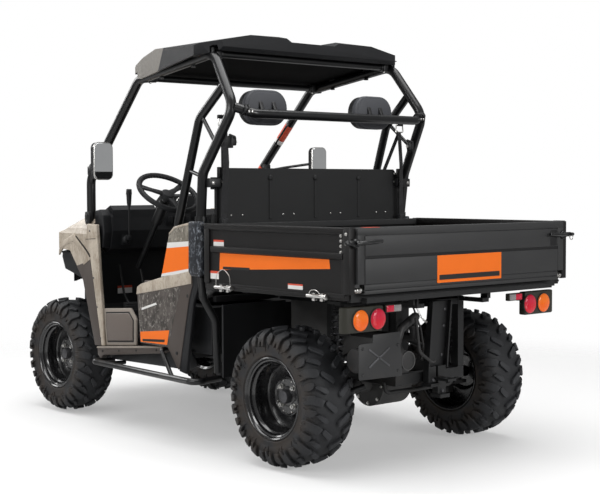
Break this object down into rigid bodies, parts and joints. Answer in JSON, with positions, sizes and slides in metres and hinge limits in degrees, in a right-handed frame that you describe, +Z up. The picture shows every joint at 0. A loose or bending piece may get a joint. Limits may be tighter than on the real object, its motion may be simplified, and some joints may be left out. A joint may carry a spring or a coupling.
{
  "type": "side by side utility vehicle",
  "caption": "Two-seat utility side-by-side with a roll cage and hard roof, steered front wheels and a tipping steel cargo bed with a drop tailgate.",
  "frame": {"origin": "on the ground under the centre of the vehicle's bounding box", "axes": "+X forward, +Y to the driver's left, +Z up"},
  "size_m": [3.0694, 1.662, 2.068],
  "materials": {
    "frame_black": "satin black powder coat",
    "cage_black": "semi-gloss black paint",
    "bed_grey": "satin charcoal powder coat",
    "camo": "moulded plastic with a branch pattern",
    "taupe": "plain moulded plastic",
    "black_plastic": "grained black plastic",
    "roof_plastic": "grained dark grey plastic",
    "seat_vinyl": "black vinyl",
    "tyre": "dusty rubber",
    "rim_black": "gloss black enamel",
    "cast_grey": "dull cast metal",
    "rubber": "black rubber",
    "lamp_lens": "amber and red lens",
    "clear_lens": "clear lens"
  },
  "bodies": {
    "chassis": {"main_frame": "frame_black", "front_frame": "frame_black", "rear_frame": "frame_black", "outriggers": "frame_black", "floor_pan": "black_plastic", "engine_block": "cast_grey", "differentials": "cast_grey", "halfshafts": "rubber", "suspension_arms": "frame_black", "shock_absorbers": "frame_black", "exhaust": "frame_black", "hitch_frame": "frame_black", "front_bumper": "cage_black", "front_fascia": "black_plastic", "headlights": "clear_lens", "front_fenders": "camo", "wheel_liners": "black_plastic", "dashboard": "black_plastic", "steering_column": "frame_black", "gear_lever": "black_plastic", "seat_base": "black_plastic", "seat_cushions": "seat_vinyl", "seat_backs": "seat_vinyl", "foot_guards": "taupe", "rocker_panels": "taupe", "side_panels": "camo", "quarter_panels": "camo", "step_bars": "cage_black", "front_cage": "cage_black", "rear_cage": "cage_black", "roof": "roof_plastic", "headboard": "bed_grey", "headrests": "black_plastic", "mirrors": "black_plastic"},
    "bed": {"bed_floor": "bed_grey", "bed_front_panel": "bed_grey", "bed_sides": "bed_grey", "tail_lamps": "black_plastic", "tail_lenses": "lamp_lens"},
    "tailgate": {"tailgate": "bed_grey"},
    "hood": {"hood": "camo"},
    "steering_wheel": {"steering_wheel": "black_plastic"},
    "left_knuckle": {"knuckle_left": "cast_grey"},
    "right_knuckle": {"knuckle_right": "cast_grey"},
    "front_left_wheel": {"rim_front_left": "rim_black", "tyre_front_left": "tyre"},
    "front_right_wheel": {"rim_front_right": "rim_black", "tyre_front_right": "tyre"},
    "rear_left_wheel": {"rim_rear_left": "rim_black", "tyre_rear_left": "tyre"},
    "rear_right_wheel": {"rim_rear_right": "rim_black", "tyre_rear_right": "tyre"}
  },
  "joints": [
    {"name": "steer_left", "type": "hinge", "parent": "chassis", "child": "left_knuckle", "pos_m": [1.09, 0.47, 0.33], "axis": [0, 0, 1], "range_deg": [-30, 30]},
    {"name": "steer_right", "type": "hinge", "parent": "chassis", "child": "right_knuckle", "pos_m": [1.09, -0.47, 0.33], "axis": [0, 0, 1], "range_deg": [-30, 30]},
    {"name": "steering_wheel_turn", "type": "hinge", "parent": "chassis", "child": "steering_wheel", "pos_m": [0.35, 0.36, 1.27], "axis": [-0.5736, 0, 0.8192], "range_deg": [-270, 270]},
    {"name": "front_left_wheel_spin", "type": "hinge", "parent": "left_knuckle", "child": "front_left_wheel", "pos_m": [1.09, 0.538, 0.33], "axis": [0, 1, 0], "continuous": true},
    {"name": "front_right_wheel_spin", "type": "hinge", "parent": "right_knuckle", "child": "front_right_wheel", "pos_m": [1.09, -0.538, 0.33], "axis": [0, 1, 0], "continuous": true},
    {"name": "rear_left_wheel_spin", "type": "hinge", "parent": "chassis", "child": "rear_left_wheel", "pos_m": [-0.95, 0.6, 0.33], "axis": [0, 1, 0], "continuous": true},
    {"name": "rear_right_wheel_spin", "type": "hinge", "parent": "chassis", "child": "rear_right_wheel", "pos_m": [-0.95, -0.6, 0.33], "axis": [0, 1, 0], "continuous": true},
    {"name": "hood_open", "type": "hinge", "parent": "chassis", "child": "hood", "pos_m": [0.742, 0, 1.168], "axis": [0, -1, 0], "range_deg": [0, 50]},
    {"name": "bed_tip", "type": "hinge", "parent": "chassis", "child": "bed", "pos_m": [-1.4, 0, 0.78], "axis": [0, -1, 0], "range_deg": [0, 40]},
    {"name": "tailgate_drop", "type": "hinge", "parent": "bed", "child": "tailgate", "pos_m": [-1.49, 0, 0.858], "axis": [0, -1, 0], "range_deg": [0, 90]}
  ],
  "couplings": [
    {"joint": "steer_right", "follows": "steer_left", "ratio": 1},
    {"joint": "steering_wheel_turn", "follows": "steer_left", "ratio": 9}
  ]
}
